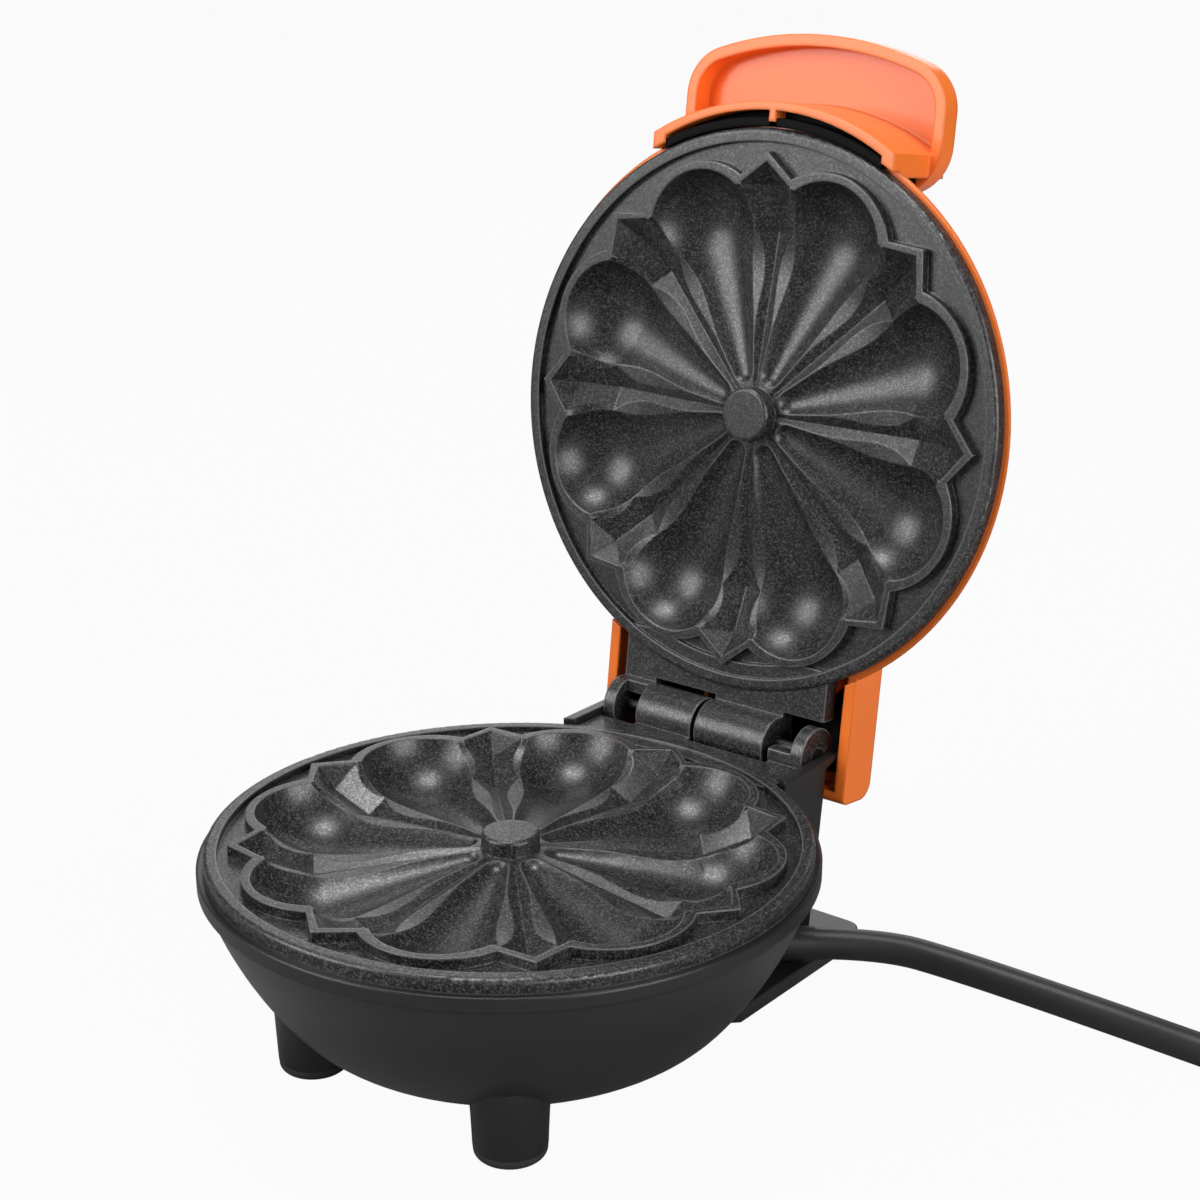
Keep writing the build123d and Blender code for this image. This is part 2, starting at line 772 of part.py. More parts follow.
with BuildPart() as handle_liner:
    with BuildSketch(Plane.XY.offset(liner_depth)):
        add(skirt_outline(skirt_thickness + liner_gap, skirt_end_wall + liner_gap))
    extrude(amount=pocket_top - liner_depth)
    with BuildSketch(Plane.XY.offset(liner_lip)):
        Circle(bowl_rim_radius + 0.8)
        Circle(plate_radius + 0.3, mode=Mode.SUBTRACT)
        add(skirt_outline(skirt_thickness + liner_gap, skirt_end_wall + liner_gap), mode=Mode.INTERSECT)
    extrude(amount=liner_depth - liner_lip)
    add(dome(-liner_gap / 2), mode=Mode.SUBTRACT)
    with BuildSketch(Plane.XY):
        Rectangle(skirt_rib + 2 * liner_gap, 4 * skirt_front)
    extrude(amount=pocket_top, mode=Mode.SUBTRACT)

with BuildPart() as tail_liner:
    with BuildSketch(Plane.XY.offset(tail_top - tail_wall - tail_liner_thickness)):
        with Locations((0, (tail_liner_front + tail_end - tail_wall - 2.1) / 2)):
            Rectangle(
                2 * tail_liner_half_width,
                tail_end - tail_wall - 2.1 - tail_liner_front,
            )
        with Locations(*tail_places):
            Circle(boss_tube_radius + liner_gap, mode=Mode.SUBTRACT)
    extrude(amount=tail_liner_thickness)

with BuildPart() as lid_screws:
    for places, seat, reach in (
        (front_places, dome_screw_seat, dome_screw_seat + screw_seat + screw_reach),
        (tail_places, lid_screw_seat, lid_screw_reach),
    ):
        with BuildSketch(Plane.XY.offset(seat)):
            with Locations(*places):
                Circle(screw_head_radius)
        extrude(amount=screw_head_height)
        with BuildSketch(Plane.XY.offset(seat - reach)):
            with Locations(*places):
                Circle(screw_radius)
        extrude(amount=reach)
        with BuildSketch(Plane.XY.offset(seat + screw_head_height - 1.4)):
            with Locations(*places):
                Rectangle(4.2, 1.0)
                Rectangle(1.0, 4.2)
        extrude(amount=1.4, mode=Mode.SUBTRACT)

with BuildPart() as upper_heater:
    add(mirror(lower_heater.part, about=Plane.XY))

with BuildPart() as upper_heater_beads:
    add(mirror(lower_heater_beads.part, about=Plane.XY))

with BuildPart() as upper_heater_studs:
    add(mirror(lower_heater_studs.part, about=Plane.XY))

with BuildPart() as upper_reflector:
    with BuildSketch(Plane.XY.offset(-post_end)):
        Circle(lid_reflector_radius)
        Circle(thermostat_radius + 2, mode=Mode.SUBTRACT)
        with Locations(*front_places):
            Circle(screw_radius + 0.3, mode=Mode.SUBTRACT)
    extrude(amount=reflector_thickness)

with BuildPart() as indicator_lens:
    with BuildSketch(Plane.XY.offset(lens_bottom)):
        with Locations((0, -lens_distance)):
            Circle(lens_radius)
    extrude(amount=lens_height)
    fillet(indicator_lens.edges().group_by(Axis.Z)[-1], 0.8)

with BuildPart() as indicator_lamp:
    with BuildSketch(Plane.XY.offset(lens_bottom - lamp_height)):
        with Locations((0, -lens_distance)):
            Circle(lens_radius - 0.8)
    extrude(amount=lamp_height)

# Supply cord and plug

cord_radius = cord_diameter / 2
floor_height = cord_radius - parting_height
gland_tip = gland_origin + gland_direction * gland_outside

gland_side = (gland_direction.Y, -gland_direction.X, 0)
with BuildPart() as cord_gland:
    with BuildSketch(Plane(origin=gland_origin, x_dir=gland_direction, z_dir=gland_side)):
        with BuildLine():
            Polyline(
                (-gland_inside, 0),
                (-gland_inside, cord_radius),
                (-5, cord_radius),
                (-5, gland_radius),
                (2, gland_radius),
                (gland_outside, gland_tip_radius),
                (gland_outside, 0),
                close=True,
            )
        make_face()
    revolve(axis=Axis(gland_origin, gland_direction))


def bend_radii(points):
    """Each arc of a cord's route, as large as its two runs allow."""
    radii = []
    for before, at, after in zip(points, points[1:], points[2:]):
        into = Vector(*at) - Vector(*before)
        out = Vector(*after) - Vector(*at)
        turn = radians(into.get_angle(out))
        radii.append(0.45 * min(into.length, out.length) / tan(turn / 2))
    return radii


def tube(points, radii, section):
    """A round tube along straight runs joined by arcs."""
    with BuildPart() as solid:
        with BuildLine() as path:
            FilletPolyline(*points, radius=radii)
        with BuildSketch(Plane(origin=path.line @ 0, z_dir=path.line % 0)):
            Circle(section)
        sweep()
    return solid.part, path.wire().length


coil_front = hinge_y + 9.3
coil_centre = Vector(coil_centre_x, coil_front + coil_radius, floor_height)
coil_top = floor_height + coil_turns * coil_pitch
cord_route = (
    tuple(gland_tip),
    tuple(gland_tip + gland_direction * 15),
    (67.0, coil_front - 13.4, -36.9),
    (84.5, coil_front - 8.7, -39.7),
    (104.0, coil_front - 4.3, -42.6),
    (123.0, coil_front, floor_height),
    (coil_centre_x - cord_diameter, coil_front, floor_height),
)
tail_route = (
    (coil_centre_x + cord_diameter, coil_front, coil_top),
    (coil_centre_x + 19.3, coil_front, coil_top),
    (coil_centre_x + 34.5, coil_front + 4.9, coil_top - 1.4),
    (coil_centre_x + 46.9, coil_front + 15.7, coil_top - 4.6),
    (coil_centre_x + 53.9, coil_front + 30.7, plug_radius - parting_height),
    (coil_centre_x + 54.7, coil_front + 46.7, plug_radius - parting_height),
)

with BuildPart() as power_cord:
    cord_radii = bend_radii(cord_route)
    cord_solid, cord_length = tube(cord_route, cord_radii, cord_radius)
    add(cord_solid)

with BuildPart() as power_cord_tail:
    tail_radii = bend_radii(tail_route)
    tail_solid, tail_length = tube(tail_route, tail_radii, cord_radius)
    add(tail_solid)

# The coil: flat half turns on the right, and half turns on the left that climb one pitch
with BuildPart() as power_cord_coil:
    with BuildLine() as coil_path:
        front = Vector(coil_centre.X, coil_centre.Y - coil_radius, floor_height)
        Line(front - Vector(cord_diameter, 0, 0), front)
        for turn in range(coil_turns):
            level = floor_height + turn * coil_pitch
            above = level + coil_pitch
            start = (coil_centre.X, coil_centre.Y - coil_radius, level)
            back = (coil_centre.X, coil_centre.Y + coil_radius, level)
            finish = (coil_centre.X, coil_centre.Y - coil_radius, above)
            climb_radius = sqrt(coil_radius**2 + (coil_pitch / 2) ** 2)
            ThreePointArc(start, (coil_centre.X + coil_radius, coil_centre.Y, level), back)
            ThreePointArc(back, (coil_centre.X - climb_radius, coil_centre.Y, (level + above) / 2), finish)
        Line(finish, (finish[0] + cord_diameter, finish[1], finish[2]))
    with BuildSketch(Plane(origin=coil_path.line @ 0, z_dir=(1, 0, 0))):
        Circle(cord_radius)
    sweep()

# Strap round the strands at the coil's left
tie_width = 8.0
tie_thickness = 1.2
with BuildPart() as cord_tie:
    strands = (coil_turns - 1) * coil_pitch + cord_diameter
    middle = floor_height + coil_pitch / 2 + (coil_turns - 1) * coil_pitch / 2
    tie_place = (coil_centre.X - climb_radius, coil_centre.Y + tie_width / 2, middle)
    with BuildSketch(Plane(origin=tie_place, x_dir=(1, 0, 0), z_dir=(0, -1, 0))):
        RectangleRounded(cord_diameter + 1 + 2 * tie_thickness, strands + 1.2 + 2 * tie_thickness, 4.4)
        RectangleRounded(cord_diameter + 1, strands + 1.2, 3.2, mode=Mode.SUBTRACT)
    extrude(amount=tie_width)

plug_start = Vector(*tail_route[-1])
plug_direction = (plug_start - Vector(*tail_route[-2])).normalized()
plug_side = (plug_direction.Y, -plug_direction.X, 0)
plug_end = plug_start + plug_direction * plug_length
plug_plane = Plane(origin=plug_start, x_dir=plug_direction, z_dir=plug_side)
plug_face = Plane(origin=plug_end, x_dir=plug_side, z_dir=plug_direction)
with BuildPart() as plug_body:
    with BuildSketch(plug_plane):
        with BuildLine():
            Polyline(
                (0, 0),
                (0, cord_radius + 1),
                (plug_length * 0.4, cord_radius + 2.6),
                (plug_length * 0.6, plug_radius),
                (plug_length, plug_radius),
                (plug_length, 0),
                close=True,
            )
        make_face()
    revolve(axis=Axis(plug_start, plug_direction))
    fillet(plug_body.edges().filter_by(GeomType.CIRCLE).sort_by(Axis(plug_start, plug_direction))[-1], 1.5)
    with BuildSketch(plug_face.offset(1)):
        with Locations((0, plug_radius), (0, -plug_radius)):
            Rectangle(5, 5)
    extrude(amount=-12, mode=Mode.SUBTRACT)

with BuildPart() as plug_pins:
    with BuildSketch(plug_face):
        with Locations((plug_pin_spacing / 2, 0), (-plug_pin_spacing / 2, 0)):
            Circle(plug_pin_radius)
    extrude(amount=plug_pin_length)
    fillet(plug_pins.edges().filter_by(GeomType.CIRCLE).sort_by(Axis(plug_start, plug_direction))[-2:], 1.2)

# Wiring inside the shells

wire_radius = 1.0
wire_bend = 1.4
lid_wire_radius = 0.8
wire_level = heater_height - 3.2
gland_back = gland_origin - gland_direction * gland_inside
across = Vector(-gland_direction.Y, gland_direction.X, 0) * 2.2
block_front = block_y - block_size[1] / 2
stud_end = end_left.origin + end_left.z_dir * (bead_length + stud_length)
stud_lead = stud_end + end_left.z_dir * 2.6
fuse_height = -pan_drop - fuse_radius


def wire(*points):
    """A thin wire with rounded corners."""
    solid, length = tube(points, wire_bend, wire_radius)
    return solid


def supply(offset, straight, post_x):
    """A core from the back of the gland to the terminal block's front."""
    start = gland_back + offset
    turn = start - gland_direction * straight
    return wire(
        tuple(start),
        tuple(turn),
        (post_x, turn.Y + 0.8 * (turn.X - post_x) + 2, start.Z),
        (post_x, block_front, start.Z),
    )


with BuildPart() as wire_live:
    add(supply(across, 3, 7))
    add(
        wire(
            (7, block_y, block_top - 3),
            (7, block_y, block_top + 4),
            (8.4, block_y - 9, wire_level),
            (8.4, fuse_y + 6, wire_level),
            (11, fuse_y, fuse_height),
            (7, fuse_y, fuse_height),
        )
    )

with BuildPart() as wire_fuse_link:
    add(
        wire(
            (-7, fuse_y, fuse_height),
            (-11, fuse_y, fuse_height),
            (-8.4, fuse_y + 6, wire_level),
            (-8.4, heater_ring + 9, wire_level),
            (stud_lead.X, heater_ring + 9, wire_level),
            (stud_lead.X, stud_lead.Y, wire_level),
            tuple(stud_lead),
            tuple(stud_end),
        )
    )

with BuildPart() as wire_neutral:
    add(supply(-across, 13, -7))
    add(
        wire(
            (-7, block_y, block_top - 3),
            (-7, block_y, block_top + 3),
            (-2, block_y - 8, wire_level),
            (-stud_lead.X, heater_ring + 10, wire_level),
            (-stud_lead.X, stud_lead.Y, wire_level),
            (-stud_lead.X, stud_lead.Y, stud_lead.Z),
            (-stud_end.X, stud_end.Y, stud_end.Z),
        )
    )

with BuildPart() as wire_earth:
    add(supply(Vector(0, 0, 0), 8, 0))
    add(
        wire(
            (0, block_y, block_top - 3),
            (0, block_y, block_top + 8.5),
            (10, block_y - 1, block_top + 10.5),
            (14, back_foot[1], block_top + 12),
            (back_foot[0] - post_radius, back_foot[1], block_top + 12),
        )
    )

with BuildPart() as wire_lid_live:
    lid_route = (
        (-8, hinge_y + 2.3, knuckle_radius + 1.5),
        (-8, pan_radius + 1.5, 7.9),
        (-8, pan_radius - 3.95, 10.6),
        (-8, pan_floor_radius - 0.6, 14),
        (-8, pan_floor_radius - 5.5, -wire_level),
        (stud_lead.X, heater_ring + 8, -wire_level),
        (stud_lead.X, stud_lead.Y, -wire_level),
        (stud_lead.X, stud_lead.Y, -stud_lead.Z),
        (stud_end.X, stud_end.Y, -stud_end.Z),
    )
    lid_wire, lid_wire_length = tube(lid_route, wire_bend, lid_wire_radius)
    add(lid_wire)

with BuildPart() as wire_lid_neutral:
    add(mirror(wire_lid_live.part, about=Plane.YZ))

# Placing and writing

base_pieces = {
    "base_shell": base_shell,
    "lower_plate": lower_plate,
    "hinge_pin": hinge_pin,
    "foot_pads": foot_pads,
    "base_screws": base_screws,
    "lower_heater": lower_heater,
    "lower_heater_beads": lower_heater_beads,
    "lower_heater_studs": lower_heater_studs,
    "lower_reflector": lower_reflector,
    "thermostat": thermostat,
    "thermal_fuse": thermal_fuse,
    "terminal_block": terminal_block,
    "cord_clamp": cord_clamp,
    "cord_clamp_screws": cord_clamp_screws,
    "cord_gland": cord_gland,
    "power_cord": power_cord,
    "power_cord_coil": power_cord_coil,
    "power_cord_tail": power_cord_tail,
    "cord_tie": cord_tie,
    "plug_body": plug_body,
    "plug_pins": plug_pins,
    "wire_live": wire_live,
    "wire_fuse_link": wire_fuse_link,
    "wire_neutral": wire_neutral,
    "wire_earth": wire_earth,
}
lid_pieces = {
    "lid_shell": lid_shell,
    "handle_liner": handle_liner,
    "tail_liner": tail_liner,
    "upper_plate": upper_plate,
    "lid_screws": lid_screws,
    "upper_heater": upper_heater,
    "upper_heater_beads": upper_heater_beads,
    "upper_heater_studs": upper_heater_studs,
    "upper_reflector": upper_reflector,
    "indicator_lens": indicator_lens,
    "indicator_lamp": indicator_lamp,
    "wire_lid_live": wire_lid_live,
    "wire_lid_neutral": wire_lid_neutral,
}
for pieces, frame in ((base_pieces, base_frame), (lid_pieces, lid_frame)):
    for name, builder in pieces.items():
        piece = builder.part.moved(frame)
        piece.label = name
        export_step(piece, f"parts/{name}.step")

section = pi * cord_radius**2
coil_gap = coil_pitch * cos(asin(coil_pitch / (2 * coil_radius))) - cord_diameter
print("cord bends:", [round(r, 1) for r in cord_radii + tail_radii], "least allowed", 5 * cord_diameter)
for name, solid, length in (
    ("cord", power_cord, cord_length),
    ("coil", power_cord_coil, coil_path.wire().length),
    ("tail", power_cord_tail, tail_length),
):
    ratio = solid.part.volume / (section * length)
    print(name, "length", round(length, 1), "volume over section x length", round(ratio, 4))
print("whole cord from the gland", round(cord_length + coil_path.wire().length + tail_length, 1))
print("least gap between turns of the coil", round(coil_gap, 2))
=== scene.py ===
import math

import bpy
from bpy.props import FloatProperty, FloatVectorProperty, IntProperty, PointerProperty
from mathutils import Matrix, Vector


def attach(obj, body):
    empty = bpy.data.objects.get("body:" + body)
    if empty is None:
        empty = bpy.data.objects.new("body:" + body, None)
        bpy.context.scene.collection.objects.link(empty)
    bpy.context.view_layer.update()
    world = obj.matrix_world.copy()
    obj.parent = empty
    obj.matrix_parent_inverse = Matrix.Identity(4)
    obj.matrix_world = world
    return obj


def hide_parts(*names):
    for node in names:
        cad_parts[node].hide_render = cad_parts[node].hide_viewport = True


bl_info = {
    "name": "Mini Cake Maker",
    "version": (1, 0, 0),
    "blender": (4, 5, 0),
    "location": "View3D > Sidebar > Cake Maker",
    "description": "Finishes, cord and studio for a small countertop cake maker with a hinged lid",
    "category": "Object",
}

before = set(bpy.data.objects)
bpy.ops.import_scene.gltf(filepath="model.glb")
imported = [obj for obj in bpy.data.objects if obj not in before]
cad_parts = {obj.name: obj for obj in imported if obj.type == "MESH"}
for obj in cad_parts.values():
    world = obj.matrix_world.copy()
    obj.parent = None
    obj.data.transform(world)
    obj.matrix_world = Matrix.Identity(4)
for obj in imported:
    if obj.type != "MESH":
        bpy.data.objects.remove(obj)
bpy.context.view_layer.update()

# The route of the cord in front of and behind its coil, in metres
CORD_FRONT = (
    (0.0401, 0.0257, 0.0146),
    (0.0521, 0.0347, 0.0146),
    (0.0670, 0.0401, 0.0121),
    (0.0845, 0.0448, 0.0093),
    (0.1040, 0.0492, 0.0064),
    (0.1230, 0.0535, 0.0034),
    (0.1432, 0.0535, 0.0034),
)
CORD_END = (
    (0.1568, 0.0535, 0.0256),
    (0.1693, 0.0535, 0.0256),
    (0.1845, 0.0584, 0.0242),
    (0.1969, 0.0692, 0.0210),
    (0.2039, 0.0842, 0.0185),
    (0.2047, 0.1002, 0.0185),
)
COIL_CENTRE = Vector((0.150, 0.088, 0.0034))

# Each lamp: its name, its place and its width in metres
LAMPS = (
    ("key", (-0.64, -1.02, 0.66), 0.85),
    ("top", (-0.15, -0.05, 1.25), 0.45),
    ("fill", (1.15, -0.20, 0.45), 0.80),
    ("back", (-0.55, 0.85, 0.50), 0.90),
)
LAMP_TARGET = Vector((0, 0, 0.09))
SENSOR_WIDTH = 36.0

# Depth of the fine relief in plastic and metal, in metres
RIPPLE_DEPTH = 0.00002
WHITE = (1, 1, 1, 1)


def colour(name, default, description):
    """A colour property in linear light."""
    return FloatVectorProperty(
        name=name, description=description, default=default, subtype="COLOR", size=3, min=0, max=1
    )


def length(name, default, description):
    """A length property in metres."""
    return FloatProperty(
        name=name, description=description, default=default, subtype="DISTANCE", unit="LENGTH", min=0
    )


def factor(name, default, description):
    """A plain number from nought to one."""
    return FloatProperty(
        name=name, description=description, default=default, subtype="FACTOR", min=0, max=1
    )


class ShellSettings(bpy.types.PropertyGroup):
    """The two plastic shells."""

    lid_colour: colour("Lid", (0.82, 0.175, 0.024), "Colour of the lid and its handle")
    lid_roughness: factor("Lid roughness", 0.24, "How matt the lid is")
    base_colour: colour("Base", (0.009, 0.009, 0.0095), "Colour of the base")
    base_roughness: factor("Base roughness", 0.34, "How matt the base is")
    edge_radius: length("Edge radius", 0.0009, "Softness of the moulded edges")
    grain: length("Grain", 0.0011, "Size of the ripples in the moulded faces")


class PlateSettings(bpy.types.PropertyGroup):
    """The two mould plates."""

    coating: colour("Coating", (0.0025, 0.0025, 0.0028), "Colour of the non-stick coating")
    speck: colour("Specks", (0.08, 0.08, 0.084), "Colour of the fine specks in the coating")
    speck_size: length("Speck size", 0.0003, "Distance between specks")
    roughness: factor("Roughness", 0.36, "How matt the coating is")
    edge_radius: length("Edge radius", 0.0006, "Softness of the cast edges")
    # Painted highlight: the edge colour and its share stand in for the light that the rounded cast edges
    # catch.
    edge_highlight: colour("Edge", (0.13, 0.13, 0.135), "Colour of the thin coating on the edges")
    edge_highlight_share: factor("Edge wear", 0.85, "How much of the edge colour shows")
    blotch_size: length("Blotch size", 0.012, "Size of the duller and shinier patches")
    speck_gloss: factor("Speck gloss", 0.12, "How much shinier the specks are")


class CordSettings(bpy.types.PropertyGroup):
    """The mains cord and its plug."""

    diameter: length("Diameter", 0.0068, "Diameter of the cord")
    real_length: length("Length", 0.852, "Length of the cord from its gland to its plug")
    coil_radius: length("Coil radius", 0.0345, "Radius of the put-away coil at the middle of its turns")
    coil_pitch: length("Coil pitch", 0.0074, "Rise of the coil in one turn")
    coil_turns: IntProperty(name="Turns", description="Turns of the coil", default=3, min=1)
    coil_points: IntProperty(name="Points", description="Points in each turn", default=16, min=12)
    grip_ribs: IntProperty(name="Grip ribs", description="Ribs round the neck of the plug", default=5, min=1)
    grip_pitch: length("Grip pitch", 0.0022, "Distance between the ribs")
    grip_start: length("Grip start", 0.002, "From the end of the cord to the first rib")
    grip_first: length("First rib", 0.0045, "Radius of the first rib")
    grip_last: length("Last rib", 0.0056, "Radius of the last rib")
    grip_thickness: length("Rib thickness", 0.0006, "Radius of a rib's own section")
    sheath: colour("Sheath", (0.014, 0.014, 0.015), "Colour of the cord")


class StageSettings(bpy.types.PropertyGroup):
    """Camera, lamps and floor."""

    camera_place: FloatVectorProperty(
        name="Camera",
        description="Where the camera stands",
        default=(0.2726, -0.3439, 0.2387),
        subtype="TRANSLATION",
        unit="LENGTH",
        size=3,
    )
    camera_target: FloatVectorProperty(
        name="Target",
        description="The point that the camera looks at",
        default=(-0.01586, 0.02209, 0.0820),
        subtype="TRANSLATION",
        unit="LENGTH",
        size=3,
    )
    focal_length: FloatProperty(name="Lens", description="Focal length in millimetres", default=67.19, min=1)
    floor_size: length("Floor", 16.0, "Width of the floor")
    key_power: FloatProperty(name="Key", description="Power of the key lamp", default=15.5, min=0)
    top_power: FloatProperty(name="Top", description="Power of the top lamp", default=9.5, min=0)
    fill_power: FloatProperty(name="Fill", description="Power of the fill lamp", default=14.0, min=0)
    back_power: FloatProperty(name="Back", description="Power of the back lamp", default=3.6, min=0)
    sky: FloatProperty(name="Sky", description="Strength of the light from all round", default=0.11, min=0)
    backdrop: factor("Backdrop", 0.96, "Brightness of the sky where the camera sees it")
    floor_shade: factor("Floor shade", 0.26, "Grey of the floor where light falls on it")
    floor_glow: factor("Floor glow", 0.95, "How much of the floor the camera sees as white")


class Value:
    """A number socket of a shader that can be used in arithmetic."""

    def __init__(self, surface, socket):
        self.surface = surface
        self.socket = socket

    def math(self, operation, *others):
        return self.surface.node(
            "ShaderNodeMath", {"operation": operation}, dict(enumerate(others))
        )

    def __add__(self, other):
        return self.math("ADD", self, other)

    def __radd__(self, other):
        return self.math("ADD", other, self)

    def __sub__(self, other):
        return self.math("SUBTRACT", self, other)

    def __rsub__(self, other):
        return self.math("SUBTRACT", other, self)

    def __mul__(self, other):
        return self.math("MULTIPLY", self, other)

    def __rmul__(self, other):
        return self.math("MULTIPLY", other, self)

    def __gt__(self, other):
        return self.math("GREATER_THAN", self, other)


class Surface:
    """A material that is being built up node by node."""

    def __init__(self, name):
        self.material = bpy.data.materials.new(name)
        self.material.use_nodes = True
        self.tree = self.material.node_tree
        self.tree.nodes.clear()

    def node(self, kind, settings=None, inputs=None, output=0):
        """A node of this kind with these settings and inputs. Gives one of its outputs."""
        made = self.tree.nodes.new(kind)
        for name, value in (settings or {}).items():
            setattr(made, name, value)
        for name, value in (inputs or {}).items():
            if isinstance(value, Value):
                self.tree.links.new(value.socket, made.inputs[name])
            else:
                made.inputs[name].default_value = value
        return Value(self, made.outputs[output]) if made.outputs else None

    def place(self):
        """Where a point is in the object."""
        return self.node("ShaderNodeTexCoord", output="Object")

    def noise(self, size, detail=2.0, place=None):
        """Soft noise with features of this size in metres, from nought to one."""
        return self.node(
            "ShaderNodeTexNoise",
            inputs={"Vector": place or self.place(), "Scale": 1 / size, "Detail": detail},
            output="Fac",
        )

    def mix(self, amount, first, second):
        """A colour between two."""
        return self.node(
            "ShaderNodeMix",
            {"data_type": "RGBA"},
            {0: amount, 6: solid(first), 7: solid(second)},
            output=2,
        )

    def soft_edge(self, radius):
        """A normal that rounds the edges."""
        return self.node("ShaderNodeBevel", {"samples": 6}, {"Radius": radius})

    def edges(self, reach):
        """How near a point is to an edge that stands out, from nought to one."""
        open_share = self.node(
            "ShaderNodeAmbientOcclusion",
            {"inside": True, "only_local": True, "samples": 8},
            {"Distance": reach},
            output="AO",
        )
        return 2.0 - open_share * 2.0

    def bump(self, height, depth, strength=1.0, normal=None):
        """A normal tilted by a height field of this depth in metres."""
        inputs = {"Height": height, "Distance": depth, "Strength": strength}
        if normal:
            inputs["Normal"] = normal
        return self.node("ShaderNodeBump", inputs=inputs)

    def finish(self, **sockets):
        """Closes the material with the main shader, whose sockets are named with underscores."""
        inputs = {name.replace("_", " "): value for name, value in sockets.items()}
        if "Base Color" in inputs:
            inputs["Base Color"] = solid(inputs["Base Color"])
        shader = self.node("ShaderNodeBsdfPrincipled", inputs=inputs)
        self.close(shader)
        return self.material

    def close(self, shader):
        """Joins a shader to the output."""
        self.node("ShaderNodeOutputMaterial", inputs={"Surface": shader})


def solid(shade):
    """A colour with full alpha, or a link as it is."""
    if isinstance(shade, Value):
        return shade
    return (*shade[:3], 1.0)


def moulded_plastic(name, shade, roughness, settings, gloss=0.5, coat=0.0):
    """Injection-moulded plastic with slightly rippled faces and soft edges."""
    surface = Surface(name)
    cloud = surface.noise(settings.grain * 12, detail=3.0)
    ripples = surface.noise(settings.grain, detail=2.0)
    normal = surface.bump(ripples, RIPPLE_DEPTH, 0.25, surface.soft_edge(settings.edge_radius))
    return surface.finish(
        Base_Color=surface.mix(cloud * 0.1, shade, [c * 0.8 for c in shade]),
        Roughness=cloud * 0.03 + roughness,
        Specular_IOR_Level=gloss,
        Coat_Weight=coat,
        Coat_Roughness=0.08,
        Normal=normal,
    )


def non_stick(settings):
    """Black coating over cast metal, with fine light specks and a painted highlight along its edges."""
    surface = Surface("non_stick_coating")
    place = surface.place()
    cells = surface.node(
        "ShaderNodeTexVoronoi",
        {"feature": "F1"},
        {"Vector": place, "Scale": 1 / settings.speck_size, "Randomness": 1.0},
        output="Color",
    )
    level = surface.node("ShaderNodeSeparateColor", inputs={"Color": cells}, output="Red")
    grains = surface.noise(settings.speck_size * 1.2, detail=2.0, place=place)
    speck = level * level * level
    blotch = surface.noise(settings.blotch_size, detail=2.0, place=place)
    normal = surface.bump(
        grains, settings.speck_size * 0.14, 0.5, surface.soft_edge(settings.edge_radius)
    )
    coating = surface.mix(speck, settings.coating, settings.speck)
    # Painted highlight: near edges that stand out, the light edge colour is laid over the coating in place
    # of the light those edges catch.
    painted_highlight_mask = surface.edges(settings.edge_radius * 0.75) * settings.edge_highlight_share
    return surface.finish(
        Base_Color=surface.mix(painted_highlight_mask, coating, settings.edge_highlight),
        Roughness=settings.roughness + blotch * 0.04 - speck * settings.speck_gloss,
        Specular_IOR_Level=0.55,
        Normal=normal,
    )


def metal(name, shade, roughness, grain=0.0004):
    """Plain or brushed metal."""
    surface = Surface(name)
    grains = surface.noise(grain, detail=3.0)
    return surface.finish(
        Base_Color=surface.mix(grains * 0.3, shade, [c * 0.7 for c in shade]),
        Metallic=1.0,
        Roughness=grains * 0.15 + roughness,
        Normal=surface.bump(grains, RIPPLE_DEPTH, 0.2),
    )


def plain(name, shade, roughness, grain=0.0006, depth=0.00003):
    """A matt material with fine grain, such as ceramic, rubber or an insulated wire."""
    surface = Surface(name)
    grains = surface.noise(grain, detail=3.0)
    return surface.finish(
        Base_Color=surface.mix(grains * 0.3, shade, [c * 0.75 for c in shade]),
        Roughness=grains * 0.1 + roughness,
        Normal=surface.bump(grains, depth, 0.3),
    )


def striped_wire(name, first, second):
    """An insulated wire in two colours."""
    surface = Surface(name)
    stripes = surface.node(
        "ShaderNodeTexWave",
        {"wave_type": "BANDS", "bands_direction": "DIAGONAL"},
        {"Vector": surface.place(), "Scale": 140.0, "Distortion": 0.0},
        output="Fac",
    )
    return surface.finish(Base_Color=surface.mix(stripes > 0.6, first, second), Roughness=0.4)


def lens_plastic(name, shade):
    """Tinted clear plastic over a lamp."""
    surface = Surface(name)
    cloud = surface.noise(0.002)
    return surface.finish(
        Base_Color=surface.mix(cloud * 0.3, shade, [c * 0.6 for c in shade]),
        Roughness=0.12,
        Coat_Weight=0.5,
        Coat_Roughness=0.05,
    )


def lamp_glass():
    """The little lamp's glass."""
    surface = Surface("lamp_glass")
    cloud = surface.noise(0.003)
    return surface.finish(
        Base_Color=surface.mix(cloud * 0.2, (0.9, 0.55, 0.35), (0.8, 0.45, 0.3)),
        Roughness=0.06,
        Alpha=cloud * 0.1 + 0.3,
    )


def paint(material, *names):
    """Gives CAD nodes or pieces this material."""
    for name in names:
        data = bpy.data.objects[name].data
        data.materials.clear()
        data.materials.append(material)


def curve_piece(name, points, radius, material):
    """A smooth round tube along points, as a curve."""
    data = bpy.data.curves.new(name, "CURVE")
    data.dimensions = "3D"
    data.bevel_depth = radius
    data.bevel_resolution = 6
    data.use_fill_caps = True
    data.resolution_u = 8
    spline = data.splines.new("NURBS")
    spline.points.add(len(points) - 1)
    for point, place in zip(spline.points, points):
        point.co = (*place, 1.0)
    spline.order_u = 3
    spline.use_endpoint_u = True
    data.materials.append(material)
    piece = bpy.data.objects.new(name, data)
    bpy.context.collection.objects.link(piece)
    return piece


